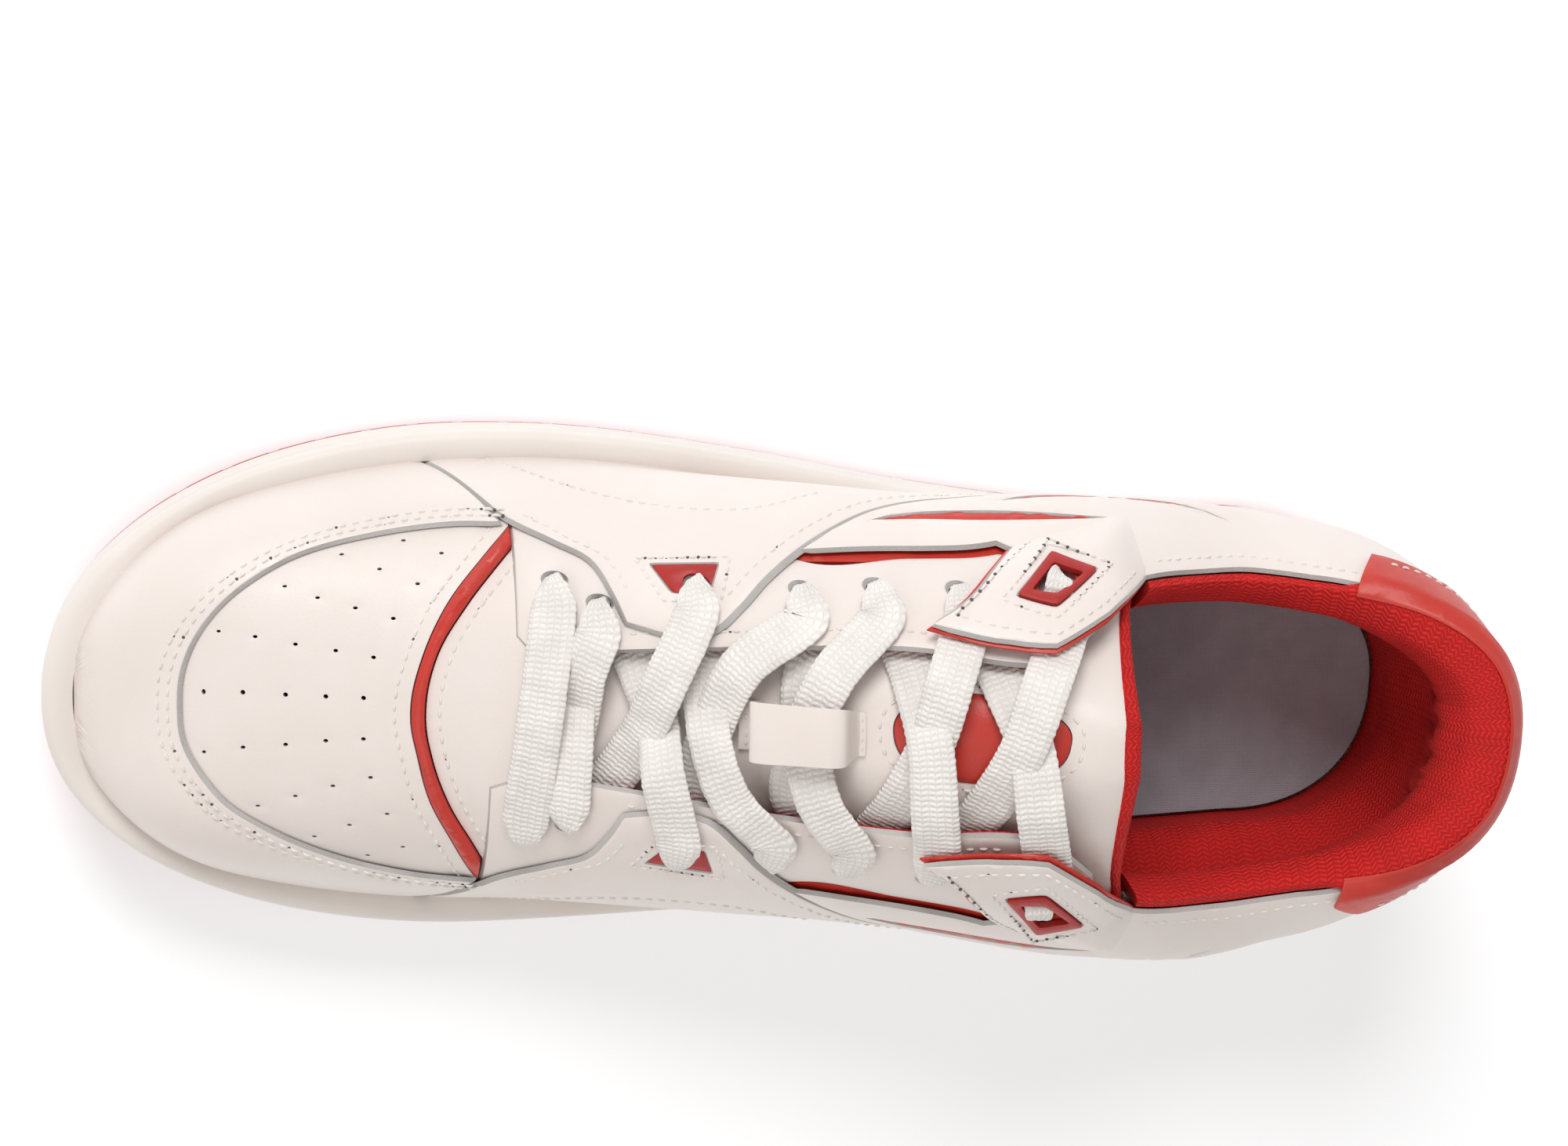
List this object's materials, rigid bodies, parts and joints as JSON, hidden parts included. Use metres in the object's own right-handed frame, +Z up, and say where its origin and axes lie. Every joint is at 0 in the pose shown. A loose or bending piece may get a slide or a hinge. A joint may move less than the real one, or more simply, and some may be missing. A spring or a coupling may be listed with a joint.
{
  "type": "bowling shoe",
  "caption": "Low laced leather bowling shoe for the left foot, with a rubber cup sole, overlaid upper, padded collar and hinged tongue.",
  "frame": {"origin": "on the ground under the middle of the sole's length, in the middle of a tread bar", "axes": "+Z up, toe towards -X, inner (medial) side of the foot towards +Y"},
  "size_m": [0.304, 0.1107, 0.1075],
  "materials": {
    "white_leather": "smooth, satin",
    "red_leather": "smooth, satin",
    "red_knit": "fine knit, matt",
    "white_rubber": "moulded, matt",
    "red_rubber": "moulded, satin",
    "footbed_cloth": "brushed cloth, matt",
    "foam": "open foam, matt",
    "stiffener": "pressed fibre, matt",
    "lace_cloth": "flat weave, matt",
    "aglet": "clear film over lace"
  },
  "bodies": {
    "shoe": {"outsole_tread": "red_rubber", "cupsole": "white_rubber", "midsole_foam": "foam", "insole_board": "stiffener", "footbed": "footbed_cloth", "vamp_toe_panel": "white_leather", "toe_mudguard": "white_leather", "vamp_piping": "red_leather", "vamp_throat": "white_leather", "toe_puff": "stiffener", "vamp_lining": "red_knit", "eyestay_medial": "white_leather", "facing_lining_medial": "red_knit", "saddle_overlay_medial": "white_leather", "eyelet_insert_medial": "red_rubber", "stripe_underlay_medial": "red_leather", "quarter_medial": "white_leather", "strap_backing_medial": "red_leather", "strap_medial": "white_leather", "eyelet_ring_medial": "red_rubber", "eyestay_lateral": "white_leather", "facing_lining_lateral": "red_knit", "saddle_overlay_lateral": "white_leather", "eyelet_insert_lateral": "red_rubber", "stripe_underlay_lateral": "red_leather", "quarter_lateral": "white_leather", "strap_backing_lateral": "red_leather", "strap_lateral": "white_leather", "eyelet_ring_lateral": "red_rubber", "heel_counter": "stiffener", "collar_foam": "foam", "collar_lining": "red_knit", "heel_backstay": "white_leather", "heel_tab": "red_leather", "lace": "lace_cloth", "aglet_medial": "aglet", "aglet_lateral": "aglet"},
    "tongue": {"tongue_outer": "white_leather", "tongue_foam": "foam", "tongue_lining": "red_knit", "tongue_binding": "red_knit", "tongue_patch": "red_leather", "lace_keeper": "white_leather"}
  },
  "joints": [
    {"name": "tongue_hinge", "type": "hinge", "parent": "shoe", "child": "tongue", "pos_m": [-0.056, 0, 0.056], "axis": [0, 1, 0], "range_deg": [0, 1.8]}
  ]
}
